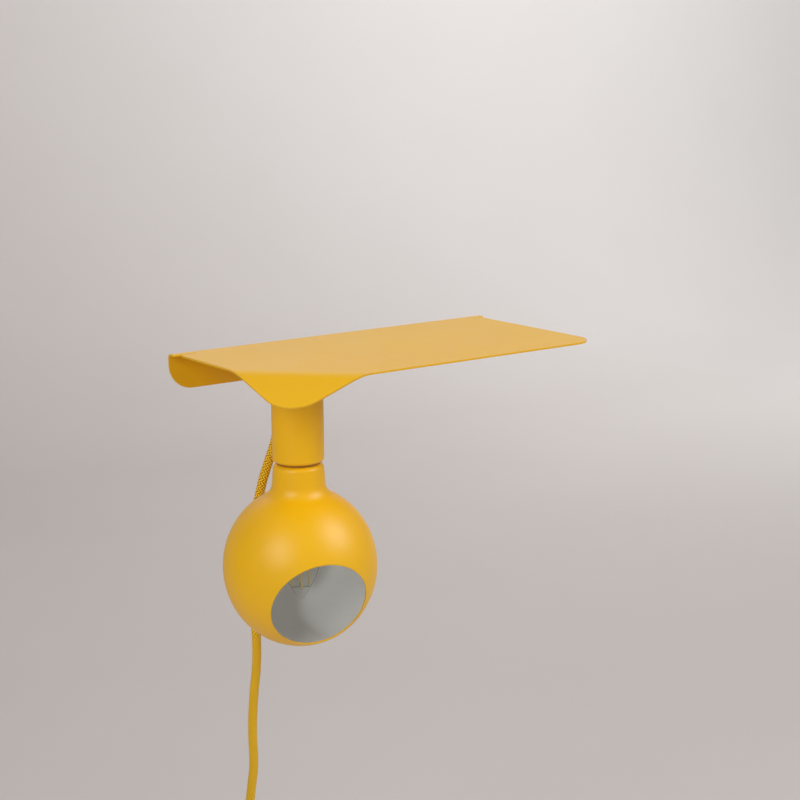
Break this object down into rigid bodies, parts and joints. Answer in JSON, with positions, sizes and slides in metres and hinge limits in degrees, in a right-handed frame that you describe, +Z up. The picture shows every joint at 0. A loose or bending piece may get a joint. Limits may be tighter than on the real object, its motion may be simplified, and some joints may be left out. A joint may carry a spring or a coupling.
{
  "type": "wall lamp with shelf",
  "caption": "Bent sheet-steel wall shelf with one corner folded down and a magnet-held lamp below it: round cup, open globe shade, clear bulb, braided cord.",
  "frame": {"origin": "middle of the two wall screw holes, on the back face of the shelf's flange", "axes": "+X right along the wall, +Y into the wall, +Z up; the room is at -Y"},
  "size_m": [0.3276, 0.16, 0.6544],
  "materials": {
    "yellow_steel": "satin powder coat, fine texture, yellow",
    "bare_steel": "zinc-plated steel",
    "magnet": "sintered ferrite, ground",
    "pad_rubber": "thin rubber pad",
    "holder_plastic": "moulded black thermoplastic",
    "block_plastic": "moulded light insulating block",
    "brass": "stamped brass",
    "core_insulation": "extruded core insulation",
    "bulb_metal": "rolled bulb cap",
    "black_glass": "black glass foot",
    "clear_glass": "clear blown glass",
    "filament_yellow": "phosphor-coated filament, unlit",
    "frame_wire": "thin support wire",
    "cord_textile": "yellow braided textile over a round cord",
    "yellow_plastic": "moulded yellow plastic",
    "plug_plastic": "moulded yellow plastic, satin",
    "pin_metal": "nickel-plated brass pins",
    "sleeve_plastic": "black pin insulation",
    "tie_fabric": "black woven hook-and-loop band"
  },
  "bodies": {
    "shelf": {"shelf_plate": "yellow_steel"},
    "magnet_grip": {"magnet_pad": "pad_rubber", "magnet_pot": "bare_steel", "ring_magnet": "magnet", "magnet_screw": "bare_steel"},
    "lamp": {"lamp_cup": "yellow_steel", "magnet_bridge": "bare_steel", "cord_bush": "yellow_plastic", "bush_nut": "holder_plastic", "lampholder_body": "holder_plastic", "lampholder_cap": "holder_plastic", "contact_block": "block_plastic", "screw_shell": "brass", "centre_contact": "brass", "terminal_screws": "brass", "core_wires": "core_insulation", "spacer_ring": "yellow_plastic", "bulb_cap": "bulb_metal", "bulb_tip": "black_glass", "bulb_glass": "clear_glass", "bulb_stem": "clear_glass", "filaments": "filament_yellow", "filament_frame": "frame_wire", "cord": "cord_textile", "cord_lead": "cord_textile", "cord_coil": "cord_textile", "cord_tail": "cord_textile", "coil_tie": "tie_fabric", "switch_base": "yellow_plastic", "switch_cover": "yellow_plastic", "switch_screws": "bare_steel", "plug_body": "plug_plastic", "plug_pins": "pin_metal", "pin_sleeves": "sleeve_plastic"},
    "shade": {"shade": "yellow_steel", "shade_ring": "holder_plastic"},
    "rocker": {"switch_rocker": "yellow_plastic"}
  },
  "joints": [
    {"name": "lamp_pull", "type": "slide", "parent": "shelf", "child": "magnet_grip", "axis": [0, 0, -1], "range_m": [0, 0.05]},
    {"name": "lamp_turn", "type": "hinge", "parent": "magnet_grip", "child": "lamp", "pos_m": [-0.091, -0.085, 0.005], "axis": [0, 0, 1], "range_deg": [-90, 90]},
    {"name": "shade_turn", "type": "hinge", "parent": "lamp", "child": "shade", "pos_m": [-0.091, -0.085, -0.065], "axis": [0, 0, 1], "continuous": true},
    {"name": "rocker_tip", "type": "hinge", "parent": "lamp", "child": "rocker", "pos_m": [-0.102, -0.0201, -0.413], "axis": [1, 0, 0], "range_deg": [-20, 0]}
  ]
}
